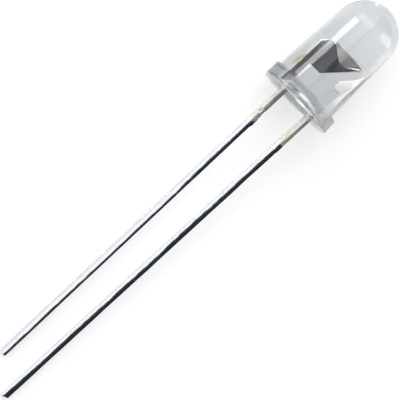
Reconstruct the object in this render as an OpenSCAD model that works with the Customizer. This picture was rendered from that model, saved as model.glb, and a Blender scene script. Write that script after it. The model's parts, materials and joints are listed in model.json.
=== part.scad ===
// A 5 mm through-hole LED in clear epoxy, lying the way it settles on a flat surface.
//
// Every module is drawn in the LED's own frame: the optical axis is Z with the dome up, the
// centre of the flange's underside is the origin, and X runs from the cathode to the anode.
// at_rest() then lays the whole LED down, on the rim of its flange and the tips of both leads.

/* [Epoxy body] */
// Diameter of the flange at the foot of the body
flange_d = 5.9; // [5.5:0.05:6.3]
// Thickness of the flange
flange_h = 1; // [0.8:0.05:1.3]
// Ledge left between the foot of the barrel and the flat on the cathode side of the flange
flat_land = 0.2; // [0.02:0.01:0.3]
// Diameter of the barrel where it meets the flange
barrel_d = 5; // [4.7:0.05:5.1]
// Draft of the barrel on each side, in degrees
barrel_draft = 2.25; // [1:0.25:3]
// Height of the body, from the underside of the flange to the top of the dome
body_h = 8.85; // [8:0.05:9.8]
// Width of the flat ring that is left around the dished underside
seat_w = 1.15; // [0.4:0.05:1.2]
// Depth of the dished underside on the optical axis
dish_depth = 0.75; // [0.2:0.05:0.8]

/* [Leads] */
// Distance between the middles of the two leads
lead_pitch = 2.54; // [2.44:0.02:2.64]
// Thickness of the lead frame's sheet, and width of each lead
sheet_t = 0.5; // [0.4:0.02:0.56]
// Length of the cathode lead below the flange
cathode_len = 25.75; // [8:0.05:28]
// How much longer the anode lead is
anode_extra = 1.95; // [0.5:0.05:3]
// Shift of the lead frame off the optical axis, towards the anode
frame_shift = 0.2; // [0:0.02:0.24]
// Lean of the cathode lead towards its own side, in degrees
cathode_lean = 0.45; // [-1:0.05:1.5]
// Lean of the anode lead towards the cathode lead, in degrees
anode_lean = 1.15; // [-1:0.05:1.5]
// Height inside the body at which the leads start to lean
root_z = 0.6; // [0.55:0.05:0.9]
// Distance from the underside of the flange to the middle of the cut tie bar
tie_bar_drop = 2.9; // [1.5:0.1:5]
// Length of the cut tie bar along the lead
tie_bar_h = 1.4; // [0.6:0.1:2]
// How far the cut tie bar stands out on each side of a lead
tie_bar_stub = 0.07; // [0.03:0.01:0.15]

/* [Cathode anvil and cup] */
// Height of the anvil's lower edge above the underside of the flange
anvil_foot_z = 2.4; // [2.1:0.05:2.7]
// Length of the anvil's lower edge, from the cathode post to the slanted side
anvil_foot_w = 0.68; // [0.5:0.02:0.8]
// Width and height of the bevel on the anvil's outer corner
anvil_bevel = [0.4, 0.5]; // [0.2:0.05:0.6]
// Height of the cup's rim above the underside of the flange
rim_z = 4.7; // [4.5:0.05:5]
// How far the cup's rim stands above the top of the anvil
rim_stand = 0.12; // [0.04:0.02:0.2]
// Diameter of the cup's flat floor
cup_floor_d = 0.72; // [0.66:0.02:0.78]
// Depth of the cup
cup_depth = 0.45; // [0.36:0.01:0.5]
// Angle between the cup's wall and the optical axis, in degrees
cup_angle = 40; // [34:1:42]
// Width of the cup's lip
cup_lip = 0.2; // [0.1:0.01:0.22]

/* [Anode flag] */
// Width of the slot between the anvil and the flag, measured level
slot_w = 0.48; // [0.42:0.02:0.6]
// How far the flag reaches inwards past its post
flag_nose = 0.48; // [0.4:0.02:0.6]
// How far the flag stands outwards past its post
flag_back = 0.33; // [0.2:0.01:0.36]
// Heights at which the flag's back starts to lean out and stands straight again
flag_back_z = [3, 3.7]; // [2.8:0.1:4.2]
// How far the top of the flag stands above the cup's rim
flag_lead = 0.1; // [0.04:0.02:0.2]
// Radius of the stamped corners
stamp_r = 0.1; // [0.04:0.01:0.12]

/* [Chip and bonds] */
// Side of the square chip
chip_w = 0.3; // [0.24:0.02:0.34]
// Height of the chip
chip_h = 0.16; // [0.1:0.01:0.22]
// Thickness of the silver paste under the chip
paste_t = 0.02; // [0.01:0.005:0.04]
// Height to which the paste climbs the sides of the chip
paste_climb = 0.03; // [0.01:0.005:0.06]
// Width of the paste outside the corners of the chip
paste_w = 0.06; // [0.03:0.01:0.08]
// Diameter of the gold wire
wire_d = 0.025; // [0.02:0.005:0.05]
// Diameter of the bonds at the two ends of the wire
bond_d = 0.1; // [0.08:0.01:0.12]
// Rise of the wire's loop above the straight line between its bonds
loop_rise = 0.25; // [0.25:0.05:0.6]

/* [Hidden] */
$fn = 96;

// Epoxy body
flange_r = flange_d / 2;
flat_x = barrel_d / 2 + flat_land;
dish_r = flange_r - seat_w;
dish_sphere_r = (dish_r * dish_r + dish_depth * dish_depth) / (2 * dish_depth);
// The dome is a sphere that the barrel's cone runs into without a corner.
dome_r = (barrel_d / 2 - (body_h - flange_h) * tan(barrel_draft)) * cos(barrel_draft)
    / (1 - sin(barrel_draft));
dome_z = body_h - dome_r;
shoulder = [dome_r * cos(barrel_draft), dome_z + dome_r * sin(barrel_draft)];

// Leads
anode_len = cathode_len + anode_extra;
cathode_x = frame_shift - lead_pitch / 2;
anode_x = frame_shift + lead_pitch / 2;
half_t = sheet_t / 2;
cathode_tip = lead_point(cathode_x, cathode_lean, cathode_len + root_z, -half_t);
anode_tip = lead_point(anode_x, anode_lean, anode_len + root_z, -half_t);

// Cathode anvil and cup
cup_flare = tan(cup_angle);
cup_floor_z = rim_z - cup_depth;
cup_rim_r = cup_floor_d / 2 + cup_depth * cup_flare;
cup_outer_r = cup_rim_r + cup_lip;
anvil_top_z = rim_z - rim_stand;
anvil_foot_x = cathode_x + half_t + anvil_foot_w;
anvil_tip_x = frame_shift + cup_outer_r;
// The slanted side of the anvil, and the flag's side across the slot from it
anvil_lean = (anvil_tip_x - anvil_foot_x) / (anvil_top_z - anvil_foot_z);

// Anode flag
flag_top_z = rim_z + flag_lead;
flag_nose_x = anode_x - half_t - flag_nose;
flag_nose_z = anvil_foot_z + (flag_nose_x - slot_w - anvil_foot_x) / anvil_lean;
flag_top_x = anvil_foot_x + slot_w + (flag_top_z - anvil_foot_z) * anvil_lean;
flag_back_x = anode_x + half_t + flag_back;

// Chip and bonds
chip_z = cup_floor_z + paste_t;
chip_corner_r = chip_w / sqrt(2);
bond_lift = 0.2 * bond_d;  // each bond is a ball centred this far above what it sits on
wire_from = [frame_shift, chip_z + chip_h + bond_lift];
wire_to = [(flag_top_x + flag_back_x) / 2, flag_top_z + bond_lift];
wire_span = norm(wire_to - wire_from);
wire_slope = atan2(wire_to[1] - wire_from[1], wire_to[0] - wire_from[0]);
wire_r = wire_span * wire_span / (8 * loop_rise) + loop_rise / 2;
wire_half_turn = asin(wire_span / (2 * wire_r));
wire_centre = (wire_from + wire_to) / 2
    + (wire_r - loop_rise) * [sin(wire_slope), -cos(wire_slope)];

// How the LED lies. The floor touches the flange's rim and the lower end corner of each lead.
// up is the floor's normal, scaled at first so that its Y is -1: both tips lie on the floor,
// which gives the ratio of its X to its Z, and the rim touches the floor too, which gives Z.
tip_ratio = (cathode_tip[1] - anode_tip[1]) / (anode_tip[0] - cathode_tip[0]);
tip_reach = -tip_ratio * cathode_tip[0] - cathode_tip[1];
rim_gain = tip_reach * tip_reach - pow(flange_r * tip_ratio, 2);
up_z = (sqrt(pow(tip_reach * half_t, 2) + rim_gain * (pow(flange_r, 2) - half_t * half_t))
    - tip_reach * half_t) / rim_gain;
up = unit([tip_ratio * up_z, -1, up_z]);
along = unit([0, 0, 1] - up[2] * up);
side = cross(up, along);

function unit(v) = v / norm(v);

// A point of a leaning lead, in X and Z: down is measured along it from where the lean starts,
// and across from its middle, towards the anode side.
function lead_point(x, lean, down, across) = [
    x - down * sin(lean) + across * cos(lean),
    root_z - down * cos(lean) - across * sin(lean)
];

module at_rest() {
    multmatrix([
        [along[0], along[1], along[2], 0],
        [side[0], side[1], side[2], 0],
        [up[0], up[1], up[2], 0],
        [0, 0, 0, 1]
    ]) children();
}

// Extrudes an outline drawn in X and Z to the thickness of the sheet, about the plane Y = 0.
module stamped() {
    rotate([90, 0, 0]) linear_extrude(height = sheet_t, center = true) children();
}

// Rounds the outward corners that the press leaves on a wide part of the frame.
module soft_corners() {
    offset(r = stamp_r) offset(delta = -stamp_r) children();
}

// Outline of a lead: its post inside the body, the leaning length below, and the stub of the
// tie bar that held the leads together while they were a strip.
module lead_outline(x, lean, len, post_top) {
    tip = root_z + len;
    polygon([
        [x - half_t, post_top],
        [x - half_t, root_z],
        lead_point(x, lean, tip, -half_t),
        lead_point(x, lean, tip, half_t),
        [x + half_t, root_z],
        [x + half_t, post_top]
    ]);
    stub_from = root_z + tie_bar_drop - tie_bar_h / 2;
    stub_w = half_t + tie_bar_stub;
    polygon([
        lead_point(x, lean, stub_from, -stub_w),
        lead_point(x, lean, stub_from + tie_bar_h, -stub_w),
        lead_point(x, lean, stub_from + tie_bar_h, stub_w),
        lead_point(x, lean, stub_from, stub_w)
    ]);
}

module cathode_solid() {
    difference() {
        union() {
            stamped() {
                lead_outline(cathode_x, cathode_lean, cathode_len, anvil_foot_z + stamp_r);
                soft_corners() polygon([
                    [cathode_x - half_t, anvil_foot_z],
                    [anvil_foot_x, anvil_foot_z],
                    [anvil_tip_x, anvil_top_z],
                    [cathode_x - half_t + anvil_bevel[0], anvil_top_z],
                    [cathode_x - half_t, anvil_top_z - anvil_bevel[1]]
                ]);
            }
            // the bulge around the cup that is pressed into the anvil
            translate([frame_shift, 0, rim_z - cup_outer_r / cup_flare])
                cylinder(r1 = 0, r2 = cup_outer_r, h = cup_outer_r / cup_flare);
        }
        translate([frame_shift, 0, cup_floor_z])
            cylinder(r1 = cup_floor_d / 2, r2 = cup_rim_r, h = cup_depth);
    }
}

module anode_solid() {
    stamped() {
        lead_outline(anode_x, anode_lean, anode_len, anvil_foot_z + stamp_r);
        soft_corners() polygon([
            [flag_nose_x, anvil_foot_z],
            [anode_x + half_t, anvil_foot_z],
            [anode_x + half_t, flag_back_z[0]],
            [flag_back_x, flag_back_z[1]],
            [flag_back_x, flag_top_z],
            [flag_top_x, flag_top_z],
            [flag_nose_x, flag_nose_z]
        ]);
    }
}

module chip_solid() {
    translate([frame_shift - chip_w / 2, -chip_w / 2, chip_z]) cube([chip_w, chip_w, chip_h]);
}

module paste_solid() {
    translate([frame_shift, 0, cup_floor_z])
        cylinder(r1 = chip_corner_r + paste_w, r2 = chip_corner_r, h = paste_t + paste_climb);
}

module bond(at) {
    translate([at[0], 0, at[1]]) intersection() {
        sphere(d = bond_d);
        translate([-bond_d, -bond_d, -bond_lift]) cube(2 * bond_d);
    }
}

module wire_solid() {
    bond(wire_from);
    bond(wire_to);
    translate([wire_centre[0], 0, wire_centre[1]])
        rotate([90, 0, 0])
            rotate(90 + wire_slope - wire_half_turn)
                rotate_extrude(angle = 2 * wire_half_turn)
                    translate([wire_r, 0]) circle(d = wire_d);
}

// The outside of the epoxy: flange, drafted barrel and dome.
module body_solid() {
    rotate_extrude() {
        polygon([
            [0, 0], [flange_r, 0], [flange_r, flange_h], [barrel_d / 2, flange_h],
            shoulder, [0, dome_z]
        ]);
        intersection() {
            translate([0, dome_z]) circle(r = dome_r);
            translate([0, dome_z]) square([dome_r, dome_r]);
        }
    }
}

module lens() {
    color([0.85, 0.87, 0.9, 0.45]) at_rest() difference() {
        body_solid();
        // the flat that marks the cathode
        translate([-flange_d - flat_x, -flange_d, -1]) cube([flange_d, 2 * flange_d, flange_h + 1]);
        // the dished underside
        translate([0, 0, dish_depth - dish_sphere_r]) sphere(r = dish_sphere_r);
        cathode_solid();
        anode_solid();
        paste_solid();
        chip_solid();
        wire_solid();
    }
}

module cathode_lead() {
    color([0.72, 0.72, 0.74]) at_rest() cathode_solid();
}

module anode_lead() {
    color([0.78, 0.78, 0.79]) at_rest() anode_solid();
}

module chip() {
    color([0.35, 0.37, 0.3]) at_rest() chip_solid();
}

module die_attach() {
    color([0.66, 0.65, 0.62]) at_rest() difference() {
        paste_solid();
        chip_solid();
    }
}

module bond_wire() {
    color([0.9, 0.7, 0.28]) at_rest() wire_solid();
}

lens();
cathode_lead();
anode_lead();
chip();
die_attach();
bond_wire();
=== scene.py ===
import json
import math

import bmesh
import bpy
import numpy as np
from mathutils import Matrix, Vector, noise


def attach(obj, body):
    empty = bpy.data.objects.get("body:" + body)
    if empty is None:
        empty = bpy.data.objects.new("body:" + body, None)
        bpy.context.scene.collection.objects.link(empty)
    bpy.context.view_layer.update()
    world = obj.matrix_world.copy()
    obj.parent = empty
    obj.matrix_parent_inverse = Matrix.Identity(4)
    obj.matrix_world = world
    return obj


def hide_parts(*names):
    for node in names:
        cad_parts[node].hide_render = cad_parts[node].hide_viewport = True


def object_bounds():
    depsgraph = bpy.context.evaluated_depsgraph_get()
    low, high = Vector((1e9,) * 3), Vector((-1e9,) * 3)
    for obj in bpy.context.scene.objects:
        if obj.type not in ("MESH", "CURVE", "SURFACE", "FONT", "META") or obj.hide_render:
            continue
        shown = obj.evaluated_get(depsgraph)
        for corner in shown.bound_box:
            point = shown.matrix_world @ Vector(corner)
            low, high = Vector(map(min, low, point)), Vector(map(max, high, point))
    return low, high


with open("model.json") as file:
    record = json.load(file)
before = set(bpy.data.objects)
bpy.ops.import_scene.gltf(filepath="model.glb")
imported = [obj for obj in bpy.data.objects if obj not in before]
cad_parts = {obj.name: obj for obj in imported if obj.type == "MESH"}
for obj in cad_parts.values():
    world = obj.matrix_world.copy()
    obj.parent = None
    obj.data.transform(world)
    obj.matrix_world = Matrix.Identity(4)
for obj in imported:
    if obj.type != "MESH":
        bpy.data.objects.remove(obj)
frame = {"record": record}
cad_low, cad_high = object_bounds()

# ---------------------------------------------------------------------------
# Sizes, in millimetres, in the LED's own frame: the optical axis is Z with the
# dome up, the middle of the flange's underside is the origin, and X runs from
# the cathode to the anode.
# ---------------------------------------------------------------------------

# Epoxy body
FLANGE_R = 2.95
FLANGE_H = 1.0
FLAT_X = 2.7
FLAT_TURN = math.radians(7)
FLANGE_DRAFT = 0.06
BARREL_R = 2.5
BARREL_DRAFT = math.radians(2.25)
BODY_H = 8.85
SEAT_W = 1.15
DISH_R = FLANGE_R - SEAT_W
DISH_DEPTH = 0.75
FLANGE_EDGE_R = 0.06
BARREL_FOOT_R = 0.07
FLAT_CORNER_R = 0.12
WICK_DEPTH = 0.3
WICK_REACH = 0.16

# Lead frame
SHEET_T = 0.5
HALF_T = SHEET_T / 2
FRAME_SHIFT = 0.2
LEAD_PITCH = 2.54
CATHODE_X = FRAME_SHIFT - LEAD_PITCH / 2
ANODE_X = FRAME_SHIFT + LEAD_PITCH / 2
CATHODE_LEN = 25.75
ANODE_LEN = 27.7
CATHODE_LEAN = math.radians(0.45)
ANODE_LEAN = math.radians(1.15)
LEAD_CROWN = 17
LEAD_EDGE_R = 0.025
ROOT_Z = 0.6
STUBS_END = 3.6
STAMP_R = 0.1
INNER_R = 0.05
NOSE_R = 0.3
ROLL_R = 0.045
BURR_R = 0.012

# Anvil and cup
ANVIL_FOOT_Z = 2.4
ANVIL_FOOT_W = 0.68
ANVIL_BEVEL_W = 0.4
ANVIL_BEVEL_H = 0.5
RIM_Z = 4.7
RIM_STAND = 0.12
CUP_FLOOR_R = 0.36
CUP_DEPTH = 0.45
CUP_FLARE = math.tan(math.radians(40))
CUP_LIP = 0.2
CUP_LIP_R = 0.03
CUP_FLOOR_Z = RIM_Z - CUP_DEPTH
CUP_RIM_R = CUP_FLOOR_R + CUP_DEPTH * CUP_FLARE
CUP_OUTER_R = CUP_RIM_R + CUP_LIP
ANVIL_TOP_Z = RIM_Z - RIM_STAND
ANVIL_FOOT_X = CATHODE_X + HALF_T + ANVIL_FOOT_W
ANVIL_TIP_X = FRAME_SHIFT + CUP_OUTER_R
ANVIL_LEAN = (ANVIL_TIP_X - ANVIL_FOOT_X) / (ANVIL_TOP_Z - ANVIL_FOOT_Z)

# Flag
SLOT_W = 0.48
FLAG_BACK_X = ANODE_X + HALF_T + 0.33
FLAG_BACK_FROM_Z = 3.0
FLAG_BACK_TO_Z = 3.7
FLAG_TOP_Z = RIM_Z + 0.1
FLAG_NOSE_X = ANODE_X - HALF_T - 0.48
FLAG_NOSE_Z = ANVIL_FOOT_Z + (FLAG_NOSE_X - SLOT_W - ANVIL_FOOT_X) / ANVIL_LEAN
FLAG_TOP_X = ANVIL_FOOT_X + SLOT_W + (FLAG_TOP_Z - ANVIL_FOOT_Z) * ANVIL_LEAN

# Chip, paste and wire
CHIP_HALF = 0.15
CHIP_H = 0.16
PASTE_T = 0.02
PASTE_R = 0.272
CHIP_Z = CUP_FLOOR_Z + PASTE_T
WIRE_R = 0.0125
LOOP_RISE = 0.22

# How far out of square the shears left each tip
CATHODE_SHEAR = 0.06
ANODE_SHEAR = 0.22

# Solder dip: how far below the flange the bright tin starts on each lead
CATHODE_DIP = 2.87
ANODE_DIP = 2.6

# Cut stubs of the tie bar: distance below the flange, side, how far it stands out, half its length
CATHODE_STUBS = ((2.06, 1, -0.03, 0.2), (2.95, 1, 0.05, 0.34), (2.95, -1, 0.02, 0.3))
ANODE_STUBS = ((2.05, -1, 0.06, 0.11), (3.12, -1, 0.06, 0.13), (2.95, 1, 0.02, 0.3))

# Marks of the cutter on the leads' fronts: distance below the flange, place across, depth
CATHODE_DENTS = ((1.95, -0.05, 0.02), (2.13, -0.05, 0.025))
ANODE_DENTS = ((2.05, -0.17, 0.03), (3.12, -0.17, 0.03))
DENT_R = 0.09

# Which way the crowned faces look, in degrees, at distances below the flange
CATHODE_SLANT = ((0, -7), (6, -7), (10, -11), (14, -14), (26, -12))
ANODE_SLANT = ((0, -11), (1.9, -10), (2.7, -5), (22, -5), (28, -2))

# Camera and light
MM = 0.001
CAMERA_YAW = math.radians(-7)
CAMERA_PITCH = math.radians(-4)
AXIS_RISE = math.radians(43.6)
FRAME_W = 26.74
LENS = 400


# ---------------------------------------------------------------------------
# The LED's own frame, as the record's mounts give it
# ---------------------------------------------------------------------------

mounts = {mount["name"]: mount for mount in frame["record"]["mounts"]}
foot_point = Vector(mounts["flange_rim"]["pos_m"])
dome_way = Vector(mounts["flange_rim"]["axis"]).normalized()
anode_way = (Vector(mounts["flange_seat"]["pos_m"]) - foot_point).normalized()
depth_way = dome_way.cross(anode_way)
led_turn = Matrix((anode_way, depth_way, dome_way)).transposed()
led_to_row = Matrix.Translation(foot_point) @ led_turn.to_4x4() @ Matrix.Scale(MM, 4)
row_to_led = led_to_row.inverted()


# ---------------------------------------------------------------------------
# Shaping
# ---------------------------------------------------------------------------

def ease(low, high, value):
    """0 below low, 1 above high, and a smooth rise between them."""
    t = min(max((value - low) / (high - low), 0.0), 1.0)
    return t * t * (3 - 2 * t)


def loft(loops):
    """Vertices and faces of a closed skin over rings of equally many points, one after the other."""
    count = len(loops[0])
    vertices = [point for loop in loops for point in loop]
    faces = []
    for ring in range(len(loops) - 1):
        for at in range(count):
            here = ring * count + at
            beside = ring * count + (at + 1) % count
            faces.append((here, beside, beside + count, here + count))
    faces.append(tuple(reversed(range(count))))
    faces.append(tuple(range(len(vertices) - count, len(vertices))))
    return vertices, faces


def solid(name, vertices, faces):
    """An object from points in the LED's frame, its faces turned outwards."""
    mesh = bpy.data.meshes.new(name)
    mesh.from_pydata([tuple(point) for point in vertices], [], faces)
    made = bpy.data.objects.new(name, mesh)
    bpy.context.scene.collection.objects.link(made)
    shape = bmesh.new()
    shape.from_mesh(mesh)
    bmesh.ops.remove_doubles(shape, verts=shape.verts, dist=1e-6)
    bmesh.ops.recalc_face_normals(shape, faces=shape.faces)
    shape.to_mesh(mesh)
    shape.free()
    return made


def cut_or_join(blank, tool, operation):
    """Joins tool to blank or cuts it away, and uses the tool up."""
    step = blank.modifiers.new("press", "BOOLEAN")
    step.operation = operation
    step.solver = "EXACT"
    step.object = tool
    settle(blank)
    bpy.data.objects.remove(tool)


def settle(made):
    """Turns an object's modifiers into its mesh."""
    bpy.context.view_layer.update()
    ready = made.evaluated_get(bpy.context.evaluated_depsgraph_get())
    mesh = bpy.data.meshes.new_from_object(ready)
    made.modifiers.clear()
    made.data = mesh


def finish_piece(made, finish, crease=math.radians(40), replaces=()):
    """Lays a piece down where the LED lies, smooths it, and gives it its finish and its place."""
    mesh = made.data
    places = np.empty(len(mesh.vertices) * 3, dtype=np.float32)
    mesh.vertices.foreach_get("co", places)
    own = mesh.attributes.new("led_mm", "FLOAT_VECTOR", "POINT")
    own.data.foreach_set("vector", places)
    mesh.shade_smooth()
    for face in mesh.polygons:
        face.use_smooth = len(face.vertices) <= 4
    mesh.transform(led_to_row)
    mesh.set_sharp_from_angle(angle=crease)
    mesh.materials.clear()
    mesh.materials.append(finish)
    mesh.name = made.name
    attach(made, "root")
    if replaces:
        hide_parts(*replaces)
    return made


def soften(corners, steps=6):
    """An outline whose corners (x, z, radius) are rounded to arcs."""
    outline = []
    for at, (x, z, radius) in enumerate(corners):
        corner = Vector((x, z))
        before = Vector(corners[at - 1][:2]) - corner
        after = Vector(corners[(at + 1) % len(corners)][:2]) - corner
        if radius == 0:
            outline.append(corner)
            continue
        half = before.angle(after) / 2
        reach = min(radius / math.tan(half), before.length * 0.45, after.length * 0.45)
        start = corner + before.normalized() * reach
        end = corner + after.normalized() * reach
        for step in range(steps + 1):
            t = step / steps
            outline.append(start.lerp(corner, t).lerp(corner.lerp(end, t), t))
    return outline


def inset(outline, depth):
    """The outline moved inwards by depth. It runs clockwise or anticlockwise, as its area says."""
    area = sum(outline[at - 1].cross(outline[at]) for at in range(len(outline)))
    inwards = 1 if area > 0 else -1
    moved = []
    for at, point in enumerate(outline):
        way_in = (point - outline[at - 1]).normalized()
        way_out = (outline[(at + 1) % len(outline)] - point).normalized()
        first = Vector((-way_in.y, way_in.x)) * inwards
        second = Vector((-way_out.y, way_out.x)) * inwards
        middle = (first + second).normalized()
        moved.append(point + middle * depth / max(middle.dot(first), 0.5))
    return moved


def stamping(name, corners):
    """A blank of the sheet, with the rolled edge of its front and the crisper edge of its back."""
    outline = soften(corners)
    loops = []
    for edge_r, side in ((ROLL_R, -1), (BURR_R, 1)):
        rings = []
        for step in range(4):
            turn = math.pi / 2 * step / 3
            ring = inset(outline, edge_r * (1 - math.cos(turn)))
            y = side * (HALF_T - edge_r + edge_r * math.sin(turn))
            rings.append([(point.x, y, point.y) for point in ring])
        loops += reversed(rings) if side < 0 else rings
    return solid(name, *loft(loops))


def lathe(name, profile, x, sectors=96):
    """A turned solid about a line along Z at x, from a profile of (radius, z)."""
    loops = []
    for radius, z in profile:
        loops.append([
            (x + radius * math.cos(turn), radius * math.sin(turn), z)
            for turn in np.arange(sectors) * math.tau / sectors
        ])
    return solid(name, *loft(loops))


# ---------------------------------------------------------------------------
# Shader nodes
# ---------------------------------------------------------------------------

class Signal:
    """What comes out of a shader node, with arithmetic on plain values."""

    def __init__(self, paint, socket):
        self.paint = paint
        self.socket = socket

    def __add__(self, other):
        return self.paint.value("ADD", self, other)

    def __sub__(self, other):
        return self.paint.value("SUBTRACT", self, other)

    def __rsub__(self, other):
        return self.paint.value("SUBTRACT", other, self)

    def __mul__(self, other):
        return self.paint.value("MULTIPLY", self, other)

    __radd__ = __add__
    __rmul__ = __mul__


class Paint:
    """The node tree of one finish, or of the studio around the LED."""

    def __init__(self, owner):
        owner.use_nodes = True
        self.tree = owner.node_tree
        self.tree.nodes.clear()

    def node(self, kind, settings=(), sockets=(), out=0):
        """A node of any kind: its settings first, then what goes into its sockets."""
        made = self.tree.nodes.new(kind)
        for name, setting in dict(settings).items():
            if name == "stops":
                self.set_stops(made.color_ramp, setting)
            else:
                setattr(made, name, setting)
        for name, what in dict(sockets).items():
            socket = made.inputs[name]
            if isinstance(what, Signal):
                self.tree.links.new(what.socket, socket)
            else:
                socket.default_value = what
        return Signal(self, made.outputs[out]) if made.outputs else made

    def set_stops(self, ramp, stops):
        while len(ramp.elements) < len(stops):
            ramp.elements.new(0.5)
        for element, (place, colour) in zip(ramp.elements, stops):
            element.position = place
            element.color = (*colour, 1)

    def value(self, operation, *inputs):
        settings = {"operation": operation}
        return self.node("ShaderNodeMath", settings, dict(enumerate(inputs)))

    def vector(self, operation, *inputs, out=0):
        settings = {"operation": operation}
        return self.node("ShaderNodeVectorMath", settings, dict(enumerate(inputs)), out)

    def blend(self, share, first, second):
        """A colour between first and second."""
        first, second = (c if isinstance(c, Signal) else (*c, 1) for c in (first, second))
        settings = {"data_type": "RGBA"}
        return self.node("ShaderNodeMix", settings, {0: share, 6: first, 7: second}, 2)

    def place(self):
        """Where a point of a piece is in the LED's own frame, in millimetres."""
        return self.node("ShaderNodeAttribute", {"attribute_name": "led_mm"}, out=1)

    def part(self, vector, axis):
        return self.node("ShaderNodeSeparateXYZ", sockets={0: vector}, out=axis)

    def grain(self, where, scale, detail=2.0, roughness=0.5):
        sockets = {"Vector": where, "Scale": scale, "Detail": detail, "Roughness": roughness}
        return self.node("ShaderNodeTexNoise", sockets=sockets)

    def step(self, value, low, high):
        """0 below low and 1 above high, with a smooth rise."""
        settings = {"interpolation_type": "SMOOTHSTEP"}
        sockets = {"Value": value, "From Min": low, "From Max": high}
        return self.node("ShaderNodeMapRange", settings, sockets)

    def bump(self, height, strength, distance):
        sockets = {"Height": height, "Strength": strength, "Distance": distance}
        return self.node("ShaderNodeBump", sockets=sockets)

    def end(self, shader):
        kind = "ShaderNodeOutputWorld" if isinstance(self.tree.id_data, bpy.types.World) else \
            "ShaderNodeOutputMaterial"
        self.node(kind, sockets={"Surface": shader})


def new_finish(name):
    return bpy.data.materials.new(name)


# ---------------------------------------------------------------------------
# Finishes
# ---------------------------------------------------------------------------

def clear_epoxy_finish():
    """Water-clear epoxy with painted shade: its tint darkens from the dome down to the flange, more on the
    flange and most in the dish, which are also duller.
    """
    finish = new_finish("clear cast epoxy")
    paint = Paint(finish)
    where = paint.place()
    swirl = paint.grain(where, 0.55, 1.0)
    mould_marks = paint.grain(where, 5.0, 3.0)
    height = paint.part(where, 2)
    flange_rough_and_shade = paint.step(height, FLANGE_H + 0.12, FLANGE_H) * paint.step(height, 0.0, 0.1)
    off_axis = paint.vector("LENGTH", paint.vector("MULTIPLY", where, (1, 1, 0)), out=1)
    dish_rough_and_shade = paint.step(off_axis, DISH_R + 0.1, DISH_R - 0.1)
    dish_rough_and_shade = dish_rough_and_shade * paint.step(height, DISH_DEPTH + 0.15, DISH_DEPTH + 0.05)
    roughness = 0.012 + 0.03 * paint.step(mould_marks, 0.45, 0.75) + 0.13 * flange_rough_and_shade + 0.12 * dish_rough_and_shade
    # Painted shade: the tint darkens from 7.5 mm up down to 1 mm, standing in for the table's shade seen
    # through the body; clear is the share of the lighter tint.
    clear = paint.step(height, 1.0, 7.5)
    tint_and_shade = paint.blend(clear, (0.70, 0.72, 0.74), (0.82, 0.85, 0.88))
    # Painted shade: the flange gets a darker tint, and the dish a darker one still.
    tint_and_shade = paint.blend(flange_rough_and_shade, tint_and_shade, (0.52, 0.54, 0.56))
    tint_and_shade = paint.blend(dish_rough_and_shade, tint_and_shade, (0.40, 0.42, 0.43))
    normal = paint.bump(swirl + mould_marks * 0.02, 0.35, 0.00012)
    body = paint.node("ShaderNodeBsdfPrincipled", sockets={
        "Base Color": tint_and_shade,
        "Roughness": roughness,
        "IOR": 1.53,
        "Transmission Weight": 1.0,
        "Normal": normal,
    })
    paint.end(body)
    return finish


def plated_lead_finish(name, dip, satin):
    """Satin silver in the body with a painted orange reflection on the cathode post's outer edge, duller,
    warmer metal round the cup with painted shade on its cathode side, then tarnished plate, then
    solder-dipped tin.
    """
    finish = new_finish(name)
    paint = Paint(finish)
    where = paint.place()
    height = paint.part(where, 2)
    ragged = paint.grain(where, 2.4, 2.0)
    tin = paint.step(height + (ragged - 0.5) * 0.5, -dip + 0.12, -dip - 0.12)
    bare = paint.step(height, 0.3, -0.1) * (1 - tin)
    rolled = paint.grain(paint.vector("MULTIPLY", where, (26.0, 26.0, 1.2)), 1.0, 3.0)
    fine = paint.grain(where, 30.0, 2.0)
    stain = paint.step(paint.grain(where, 1.7, 4.0), 0.42, 0.66)
    tarnished = paint.blend(stain, (0.57, 0.56, 0.52), (0.52, 0.48, 0.39))
    front = paint.step(paint.part(where, 1), -HALF_T - 0.003, -HALF_T - 0.02)
    pressed = front * paint.step(height, CUP_FLOOR_Z - 0.4, CUP_FLOOR_Z - 0.35)
    across = paint.part(where, 0)
    # Painted shade: on the pressed front round the cup, the cathode side gets a darker metal colour.
    cathode_side_shade = paint.step(across, FRAME_SHIFT - 0.5, FRAME_SHIFT - 0.8)
    cup_metal_and_shade = paint.blend(cathode_side_shade, (0.84, 0.78, 0.74), (0.58, 0.55, 0.52))
    # Painted reflection: a ragged orange patch on the cathode post's outer edge, about 1.5 to 2.9 mm up,
    # is blended into the silver.
    orange_reflection = paint.step(across, CATHODE_X - 0.1, CATHODE_X - 0.22) * paint.step(height, 1.5, 1.8)
    orange_reflection = orange_reflection * paint.step(height, 2.9, 2.4) * paint.step(ragged, 0.3, 0.6)
    silver = paint.blend(orange_reflection, (0.95, 0.94, 0.92), (0.78, 0.58, 0.30))
    inner = paint.blend(pressed, silver, cup_metal_and_shade)
    plate = paint.blend(bare, inner, tarnished)
    dull = paint.step(paint.grain(where, 3.1, 3.0), 0.58, 0.75)
    tinned = paint.blend(dull, (0.60, 0.62, 0.65), (0.52, 0.53, 0.57))
    colour = paint.blend(tin, plate, tinned)
    plate_rough = satin + 0.08 * rolled + (0.16 - satin) * bare + (0.5 - satin) * pressed
    tin_rough = 0.12 + 0.08 * fine
    roughness = plate_rough + (tin_rough - plate_rough) * tin
    runs = paint.grain(paint.vector("MULTIPLY", where, (3.0, 3.0, 1.3)), 1.0, 2.0)
    relief = rolled * 0.08 * (1 - tin) + runs * tin * 0.9 + fine * 0.03
    normal = paint.bump(relief, 0.5, 0.00003)
    body = paint.node("ShaderNodeBsdfPrincipled", sockets={
        "Base Color": colour,
        "Metallic": 1 - 0.27 * bare,
        "Roughness": roughness,
        "Normal": normal,
    })
    paint.end(body)
    return finish


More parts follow.
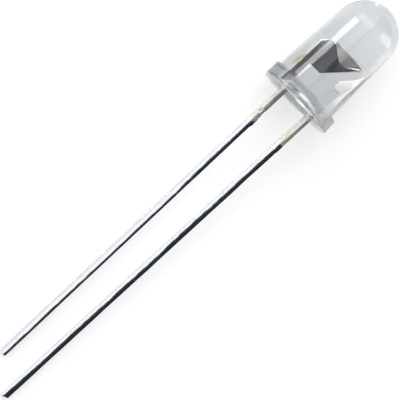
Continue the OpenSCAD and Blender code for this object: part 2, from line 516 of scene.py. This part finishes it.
def semiconductor_finish():
    finish = new_finish("sawn semiconductor")
    paint = Paint(finish)
    where = paint.place()
    saw = paint.grain(paint.vector("MULTIPLY", where, (8.0, 8.0, 90.0)), 1.0, 2.0)
    colour = paint.blend(saw, (0.12, 0.13, 0.10), (0.22, 0.23, 0.18))
    body = paint.node("ShaderNodeBsdfPrincipled", sockets={
        "Base Color": colour,
        "Roughness": 0.22 + 0.2 * saw,
        "Normal": paint.bump(saw, 0.3, 0.000004),
    })
    paint.end(body)
    return finish


def silver_paste_finish():
    finish = new_finish("cured silver paste")
    paint = Paint(finish)
    where = paint.place()
    flakes = paint.grain(where, 60.0, 3.0)
    colour = paint.blend(flakes, (0.50, 0.49, 0.46), (0.78, 0.77, 0.73))
    body = paint.node("ShaderNodeBsdfPrincipled", sockets={
        "Base Color": colour,
        "Metallic": 0.35 + 0.4 * flakes,
        "Roughness": 0.5 + 0.2 * flakes,
        "Normal": paint.bump(flakes, 0.6, 0.00001),
    })
    paint.end(body)
    return finish


def gold_finish():
    finish = new_finish("drawn gold")
    paint = Paint(finish)
    where = paint.place()
    drawn = paint.grain(where, 40.0, 2.0)
    colour = paint.blend(drawn, (0.86, 0.62, 0.24), (0.94, 0.72, 0.34))
    body = paint.node("ShaderNodeBsdfPrincipled", sockets={
        "Base Color": colour,
        "Metallic": 1.0,
        "Roughness": 0.2 + 0.12 * drawn,
    })
    paint.end(body)
    return finish


# ---------------------------------------------------------------------------
# Epoxy body
# ---------------------------------------------------------------------------

def flange_reach(turn, up):
    """Radius of the flange at an angle and a height, with the flat and its softened corners."""
    rim = FLANGE_R - FLANGE_DRAFT * up / FLANGE_H
    facing = -math.cos(turn + FLAT_TURN)
    if facing <= 0.3:
        return rim
    flat = FLAT_X / facing
    spread = FLAT_CORNER_R * 0.35
    return -spread * math.log(math.exp(-rim / spread) + math.exp(-flat / spread))


def lead_gap(x, y, lead_x):
    """Distance from a point of the underside to a lead."""
    return math.hypot(max(abs(x - lead_x) - HALF_T, 0), max(abs(y) - HALF_T, 0))


def underside(x, y):
    """Height of the cast underside: a dish inside the seat ring, drawn down a little along the leads."""
    sphere_r = (DISH_R * DISH_R + DISH_DEPTH * DISH_DEPTH) / (2 * DISH_DEPTH)
    out = math.hypot(x, y)
    cap = math.sqrt(max(sphere_r * sphere_r - out * out, 0)) - sphere_r + DISH_DEPTH
    soft = 0.02
    dish = 0.5 * (cap + math.sqrt(cap * cap + soft * soft)) - soft * soft
    near = min(lead_gap(x, y, CATHODE_X), lead_gap(x, y, ANODE_X))
    return max(dish - WICK_DEPTH * math.exp(-near / WICK_REACH), 0.0)


def make_epoxy_body():
    sectors = 360
    dome_r = (BARREL_R - (BODY_H - FLANGE_H) * math.tan(BARREL_DRAFT)) * math.cos(BARREL_DRAFT)
    dome_r /= 1 - math.sin(BARREL_DRAFT)
    dome_z = BODY_H - dome_r
    shoulder_z = dome_z + dome_r * math.sin(BARREL_DRAFT)
    columns = []
    for turn in np.arange(sectors) * math.tau / sectors:
        cos, sin = math.cos(turn), math.sin(turn)
        reach, top_reach = flange_reach(turn, 0), flange_reach(turn, FLANGE_H)
        edge_r, foot_r = FLANGE_EDGE_R, BARREL_FOOT_R
        profile = []
        for step in range(1, 45):
            out = (reach - edge_r) * step / 44
            profile.append((out, underside(out * cos, out * sin)))
        for step in range(1, 6):
            a = math.pi / 2 * step / 6
            profile.append((reach - edge_r + edge_r * math.sin(a), edge_r * (1 - math.cos(a))))
        for step in range(7):
            up = edge_r + (FLANGE_H - 2 * edge_r) * step / 6
            profile.append((flange_reach(turn, up), up))
        for step in range(1, 7):
            a = math.pi / 2 * step / 6
            profile.append((top_reach - edge_r * (1 - math.cos(a)), FLANGE_H - edge_r * (1 - math.sin(a))))
        for step in range(1, 4):
            out = top_reach - edge_r + (BARREL_R + foot_r - top_reach + edge_r) * step / 3
            profile.append((out, FLANGE_H))
        for step in range(1, 6):
            a = math.pi / 2 * step / 6
            profile.append((
                BARREL_R + foot_r * (1 - math.sin(a)), FLANGE_H + foot_r * (1 - math.cos(a))
            ))
        for step in range(33):
            z = FLANGE_H + foot_r + (shoulder_z - FLANGE_H - foot_r) * step / 32
            profile.append((BARREL_R - (z - FLANGE_H) * math.tan(BARREL_DRAFT), z))
        for step in range(1, 60):
            a = BARREL_DRAFT + (math.pi / 2 - BARREL_DRAFT) * step / 60
            profile.append((dome_r * math.cos(a), dome_z + dome_r * math.sin(a)))
        columns.append([(out * cos, out * sin, z) for out, z in profile])
    loops = [[column[ring] for column in columns] for ring in range(len(columns[0]))]
    vertices, faces = loft(loops)
    faces = faces[:-2]
    count = len(loops[0])
    bottom, top = len(vertices), len(vertices) + 1
    vertices += [(0, 0, underside(0, 0)), (0, 0, BODY_H)]
    last = len(vertices) - 2 - count
    for at in range(count):
        beside = (at + 1) % count
        faces.append((bottom, beside, at))
        faces.append((top, last + at, last + beside))
    made = solid("epoxy_body", vertices, faces)
    return finish_piece(made, clear_epoxy_finish(), math.radians(70), ["lens"])


# ---------------------------------------------------------------------------
# Leads
# ---------------------------------------------------------------------------

def leg_spot(x, lean, down, across):
    """A place on a leg, in X and Z: down along it from its root, and across towards the anode."""
    return (
        x - down * math.sin(lean) + across * math.cos(lean),
        ROOT_Z - down * math.cos(lean) - across * math.sin(lean),
    )


def lead_section(half_w, half_d, crown, corner_r):
    """The rim of a lead's cross section: crowned front and back, tight corners and flat sides."""
    crown_r = (half_w - corner_r) / math.sin(crown) + corner_r
    quarter = []
    for turn in np.linspace(0, crown, 6):
        quarter.append((crown_r * math.sin(turn), half_d - crown_r * (1 - math.cos(turn))))
    drop = half_d - (crown_r - corner_r) * (1 - math.cos(crown)) - corner_r
    for turn in np.linspace(crown, math.pi / 2, 6)[1:]:
        quarter.append((half_w - corner_r + corner_r * math.sin(turn), drop + corner_r * math.cos(turn)))
    right_half = quarter + [(x, -y) for x, y in reversed(quarter)]
    return right_half + [(-x, y) for x, y in reversed(right_half)][1:-1]


def stub_height(stubs, side, below):
    """How far the cut stubs stand out on one side of a lead."""
    return sum(
        size * ease(half + 0.03, half - 0.03, abs(below - at))
        for at, stub_side, size, half in stubs if stub_side == side
    )


def dent_depth(dents, below, across):
    """How deep the cutter's marks go at a place on a lead's front."""
    return sum(
        deep * math.exp(-((below - at) ** 2 + (across - side) ** 2) / DENT_R ** 2)
        for at, side, deep in dents
    )


def make_leg(x, lean, length, dip, shear, slants, stubs, dents, seed):
    """The leg from inside the post to the tip, a little twisted, with the tin beaded along it."""
    end = ROOT_Z + length
    stations = [-0.5, 0.0]
    stations += list(np.arange(0.15, STUBS_END + ROOT_Z + 0.4, 0.05))
    stations += list(np.arange(stations[-1] + 0.12, end - 0.3, 0.12))
    stations += [end - 0.16, end - 0.05, end - 0.02, end]
    loops = []
    for down in stations:
        below = down - ROOT_Z
        tinned = ease(dip - 0.1, dip + 0.25, below)
        edges = {side: stub_height(stubs, side, below) for side in (-1, 1)}
        swell = 0.012 * noise.noise(Vector((down * 0.55, seed, 0))) * tinned
        bead = 0.006 * noise.noise(Vector((down * 2.1, seed, 5))) * tinned
        inside = 0.004 if down < 0.1 else 0.0
        shrink = 0.012 if down == end else 0.0
        half_w = HALF_T + swell + bead - inside - shrink
        half_d = HALF_T + (swell - bead) * 0.8 - inside - shrink
        look = np.interp(below, *zip(*slants)) + 3 * noise.noise(Vector((down * 0.3, seed, 9)))
        slant = math.tan(math.radians(look)) * ease(0.2, 0.7, down)
        loop = []
        for out, deep in lead_section(half_w, half_d, math.radians(LEAD_CROWN), LEAD_EDGE_R):
            cut = shear * (0.5 + 0.5 * out / HALF_T) * ease(end - 0.3, end, down)
            if deep < 0:
                deep += dent_depth(dents, below, out)
            out += edges[1 if out > 0 else -1] * out / half_w
            px, pz = leg_spot(x, lean, down - cut, out)
            loop.append((px, deep + out * slant, pz))
        loops.append(loop)
    return solid("leg", *loft(loops))


def make_cathode_lead():
    left, right = CATHODE_X - HALF_T, CATHODE_X + HALF_T
    blank = stamping("cathode_stamping", [
        (left, ROOT_Z, 0),
        (left, ANVIL_TOP_Z - ANVIL_BEVEL_H, STAMP_R),
        (left + ANVIL_BEVEL_W, ANVIL_TOP_Z, STAMP_R),
        (ANVIL_TIP_X, ANVIL_TOP_Z, INNER_R),
        (ANVIL_FOOT_X, ANVIL_FOOT_Z, STAMP_R),
        (right, ANVIL_FOOT_Z, INNER_R),
        (right, ROOT_Z, 0),
    ])
    leg = make_leg(
        CATHODE_X, CATHODE_LEAN, CATHODE_LEN, CATHODE_DIP, CATHODE_SHEAR,
        CATHODE_SLANT, CATHODE_STUBS, CATHODE_DENTS, seed=3.0
    )
    cut_or_join(blank, leg, "UNION")
    low_r = HALF_T * 0.6
    bulge = [(low_r, RIM_Z - (CUP_OUTER_R - low_r) / CUP_FLARE)]
    bulge += [
        (CUP_OUTER_R - CUP_LIP_R * (1 - math.cos(a)) - 0.012, RIM_Z - CUP_LIP_R * (1 - math.sin(a)))
        for a in np.linspace(-0.6, math.pi / 2, 6)
    ]
    cut_or_join(blank, lathe("cup_bulge", bulge, FRAME_SHIFT), "UNION")
    hollow = [(CUP_FLOOR_R - 0.06, CUP_FLOOR_Z)]
    for step in range(1, 7):
        a = step / 6
        hollow.append((CUP_FLOOR_R - 0.06 + 0.1 * a, CUP_FLOOR_Z + 0.055 * a * a))
    hollow += [
        (CUP_FLOOR_R + CUP_DEPTH * CUP_FLARE * t, CUP_FLOOR_Z + CUP_DEPTH * t)
        for t in (0.3, 0.5, 0.7, 0.9)
    ]
    hollow += [
        (CUP_RIM_R - 0.01, RIM_Z - 0.02),
        (CUP_RIM_R + 0.03, RIM_Z + 0.01),
        (CUP_RIM_R + 0.05, RIM_Z + 0.1),
    ]
    cut_or_join(blank, lathe("cup_hollow", hollow, FRAME_SHIFT), "DIFFERENCE")
    blank.name = "cathode_stamping"
    finish = plated_lead_finish("plated cathode lead", CATHODE_DIP, 0.16)
    return finish_piece(blank, finish, replaces=["cathode_lead"])


def make_anode_lead():
    left, right = ANODE_X - HALF_T, ANODE_X + HALF_T
    blank = stamping("anode_stamping", [
        (left, ROOT_Z, 0),
        (left, ANVIL_FOOT_Z, INNER_R),
        (FLAG_NOSE_X, ANVIL_FOOT_Z, NOSE_R),
        (FLAG_NOSE_X, FLAG_NOSE_Z, NOSE_R),
        (FLAG_TOP_X, FLAG_TOP_Z, STAMP_R),
        (FLAG_BACK_X, FLAG_TOP_Z, STAMP_R),
        (FLAG_BACK_X, FLAG_BACK_TO_Z, STAMP_R),
        (right, FLAG_BACK_FROM_Z, STAMP_R),
        (right, ROOT_Z, 0),
    ])
    leg = make_leg(
        ANODE_X, ANODE_LEAN, ANODE_LEN, ANODE_DIP, ANODE_SHEAR,
        ANODE_SLANT, ANODE_STUBS, ANODE_DENTS, seed=8.0
    )
    cut_or_join(blank, leg, "UNION")
    blank.name = "anode_stamping"
    finish = plated_lead_finish("plated anode lead", ANODE_DIP, 0.38)
    return finish_piece(blank, finish, replaces=["anode_lead"])


# ---------------------------------------------------------------------------
# Chip, paste and wire
# ---------------------------------------------------------------------------

def rounded_square(half, corner_r, x, z, points=40):
    loop = []
    for at in range(points):
        turn = math.tau * (at + 0.5) / points
        cos, sin = math.cos(turn), math.sin(turn)
        power = 2 / (2 + 2 * half / corner_r)
        loop.append((
            x + half * math.copysign(abs(cos) ** power, cos),
            half * math.copysign(abs(sin) ** power, sin),
            z,
        ))
    return loop


def make_chip():
    """A sawn chip: its foot a little wider than its mesa, with a groove between them."""
    steps = [
        (0.97, 0.0), (1.0, 0.006), (1.0, 0.075), (0.985, 0.085), (0.95, 0.09),
        (0.94, 0.15), (0.92, 0.158), (0.9, CHIP_H),
    ]
    loops = [rounded_square(CHIP_HALF * wide, 0.012, FRAME_SHIFT, CHIP_Z + up) for wide, up in steps]
    made = solid("led_chip", *loft(loops))
    return finish_piece(made, semiconductor_finish(), replaces=["chip"])


def make_bond_pad():
    """The thin gold contact on top of the chip."""
    top = CHIP_Z + CHIP_H
    profile = [(0.062, top - 0.002), (0.062, top + 0.002), (0.059, top + 0.004)]
    made = lathe("chip_contact", profile, FRAME_SHIFT, 40)
    return finish_piece(made, gold_finish())


def make_paste():
    """Silver paste squeezed out round the chip's foot, a little uneven."""
    loops = []
    for out, up in ((1.0, 0.0), (0.985, 0.008), (0.93, 0.018), (0.85, 0.03), (0.8, 0.044), (0.77, 0.05)):
        loop = []
        for turn in np.arange(72) * math.tau / 72:
            uneven = 1 + 0.05 * noise.noise(Vector((math.cos(turn) * 2, math.sin(turn) * 2, 4)))
            radius = PASTE_R * out * uneven
            loop.append((
                FRAME_SHIFT + radius * math.cos(turn), radius * math.sin(turn), CUP_FLOOR_Z + up * uneven
            ))
        loops.append(loop)
    made = solid("silver_paste", *loft(loops))
    return finish_piece(made, silver_paste_finish(), replaces=["die_attach"])


def make_gold_wire():
    """One wire: a squashed ball on the chip, a loop, and a flattened stitch on the flag."""
    start = Vector((FRAME_SHIFT, CHIP_Z + CHIP_H + 0.004))
    end = Vector(((FLAG_TOP_X + FLAG_BACK_X) / 2, FLAG_TOP_Z + 0.012))
    lift = Vector((FRAME_SHIFT + 0.08, start.y + 1.25 * LOOP_RISE + 0.2))
    reach = Vector((end.x - 0.55, end.y + 0.62 * LOOP_RISE))
    path, sizes = [], []
    ball = ((0.0, 0.038), (0.008, 0.046), (0.02, 0.048), (0.032, 0.042), (0.042, 0.026), (0.05, WIRE_R))
    for up, wide in ball:
        path.append(start + Vector((0, up)))
        sizes.append((wide, wide))
    neck = path[-1]
    for step in range(1, 49):
        t = step / 48
        a, b, c = neck.lerp(lift, t), lift.lerp(reach, t), reach.lerp(end, t)
        path.append(a.lerp(b, t).lerp(b.lerp(c, t), t))
        flat = ease(0.93, 1.0, t)
        sizes.append((WIRE_R + 0.02 * flat, WIRE_R * (1 - 0.55 * flat)))
    path.append(end + Vector((0.05, -0.004)))
    sizes.append((0.03, 0.004))
    loops = []
    for at, spot in enumerate(path):
        way = path[min(at + 1, len(path) - 1)] - path[max(at - 1, 0)]
        way = Vector((0, 1)) if at < len(ball) else way.normalized()
        across = Vector((way.y, -way.x))
        wide, thick = sizes[at]
        if at < len(ball):
            thick = wide
        loops.append([
            (
                spot.x + across.x * thick * math.cos(turn),
                wide * math.sin(turn),
                spot.y + across.y * thick * math.cos(turn),
            )
            for turn in np.arange(20) * math.tau / 20
        ])
    made = solid("gold_wire", *loft(loops))
    return finish_piece(made, gold_finish(), replaces=["bond_wire"])


# ---------------------------------------------------------------------------
# Floor, studio and camera
# ---------------------------------------------------------------------------

def make_floor():
    half = 3.0
    level = cad_low.z
    mesh = bpy.data.meshes.new("floor")
    corners = [(-half, -half, level), (half, -half, level), (half, half, level), (-half, half, level)]
    mesh.from_pydata(corners, [], [(0, 1, 2, 3)])
    floor = bpy.data.objects.new("floor", mesh)
    bpy.context.scene.collection.objects.link(floor)
    finish = new_finish("white table")
    paint = Paint(finish)
    lit = paint.node("ShaderNodeBsdfDiffuse", sockets={"Color": (0.9, 0.9, 0.9, 1)})
    white = paint.node("ShaderNodeEmission", sockets={"Color": (1, 1, 1, 1), "Strength": 1.0})
    seen = paint.node("ShaderNodeLightPath", out=0)
    mirrored = paint.node("ShaderNodeLightPath", out=3)
    through = paint.node("ShaderNodeLightPath", out=6)
    share = paint.value("MINIMUM", seen + mirrored + through, 1.0) * 0.6
    paint.end(paint.node("ShaderNodeMixShader", sockets={0: share, 1: lit, 2: white}))
    mesh.materials.append(finish)


def make_studio():
    """A dark ceiling, white walls, and soft lights beyond the dome and on the cathode side."""
    world = bpy.data.worlds.new("studio")
    bpy.context.scene.world = world
    paint = Paint(world)
    way = paint.node("ShaderNodeTexCoord", out=0)
    ahead, left, up = (paint.part(way, axis) for axis in range(3))
    lean = paint.value("ARCTAN2", left, up) * math.degrees(1)
    spread = paint.value("ARCSINE", ahead) * math.degrees(1)
    wide = paint.value("ABSOLUTE", spread)
    height = paint.value("ARCSINE", up) * math.degrees(1)
    wall = paint.step(height, 14.0, 6.0) * paint.step(lean, 0, 20)
    near = camera_lean
    fill = paint.step(lean, near + 1, near + 5) * paint.step(wide, 75, 60)
    end_light = paint.step(spread, 10, 20) * paint.step(spread, 46, 28)
    end_light = end_light * (paint.step(lean, near - 10, near) + paint.step(lean, near - 40, near - 50))
    strip = paint.step(lean, near + 43, near + 46) * paint.step(lean, near + 69, near + 66)
    strip = strip * paint.step(spread, 3.2, 4.4) * paint.step(spread, 13, 9)
    glow = paint.blend(paint.step(lean, near + 15, near + 40), (1.62, 1.62, 1.62), (1.15, 1.15, 1.15))
    colour = paint.blend(fill, (0.026, 0.030, 0.040), glow)
    colour = paint.blend(end_light, colour, (3.2, 3.2, 3.2))
    colour = paint.blend(wall, colour, (1.0, 1.0, 1.0))
    colour = paint.blend(strip, colour, (8.0, 8.0, 8.0))
    paint.end(paint.node("ShaderNodeBackground", sockets={"Color": colour, "Strength": 1.0}))


def make_lamp():
    """A broad soft lamp overhead that lights the plain surfaces and shows in no mirror."""
    light = bpy.data.lights.new("overhead", "AREA")
    light.shape = "DISK"
    light.size = 1.2
    light.energy = 6.0
    lamp = bpy.data.objects.new("overhead", light)
    bpy.context.scene.collection.objects.link(lamp)
    lamp.location = (0, 0.2, 1.0)
    lamp.rotation_euler = (math.radians(-11), 0, 0)
    lamp.visible_glossy = False
    lamp.visible_transmission = False


def make_camera():
    """Looks down on the front of the lead frame, with the dome to the upper right."""
    toward = -depth_way * math.cos(CAMERA_YAW) + anode_way * math.sin(CAMERA_YAW)
    toward = toward * math.cos(CAMERA_PITCH) + dome_way * math.sin(CAMERA_PITCH)
    toward.normalize()
    axis_up = (dome_way - dome_way.dot(toward) * toward).normalized()
    axis_side = axis_up.cross(toward)
    right = math.cos(AXIS_RISE) * axis_up + math.sin(AXIS_RISE) * axis_side
    up = math.sin(AXIS_RISE) * axis_up - math.cos(AXIS_RISE) * axis_side
    aim = foot_point - (6.278 * right + 6.585 * up) * MM
    camera = bpy.data.cameras.new("camera")
    camera.lens = LENS
    camera.clip_start = 0.01
    camera.clip_end = 20
    holder = bpy.data.objects.new("camera", camera)
    bpy.context.scene.collection.objects.link(holder)
    distance = FRAME_W * MM * LENS / camera.sensor_width
    turn = Matrix((right, up, toward)).transposed().to_4x4()
    holder.matrix_world = Matrix.Translation(aim + toward * distance) @ turn
    bpy.context.scene.camera = holder
    return math.degrees(math.atan2(toward.y, toward.z))


camera_lean = make_camera()
make_studio()
make_lamp()
make_floor()
make_epoxy_body()
make_cathode_lead()
make_anode_lead()
make_chip()
make_bond_pad()
make_paste()
make_gold_wire()

bpy.context.scene.view_settings.view_transform = "Standard"
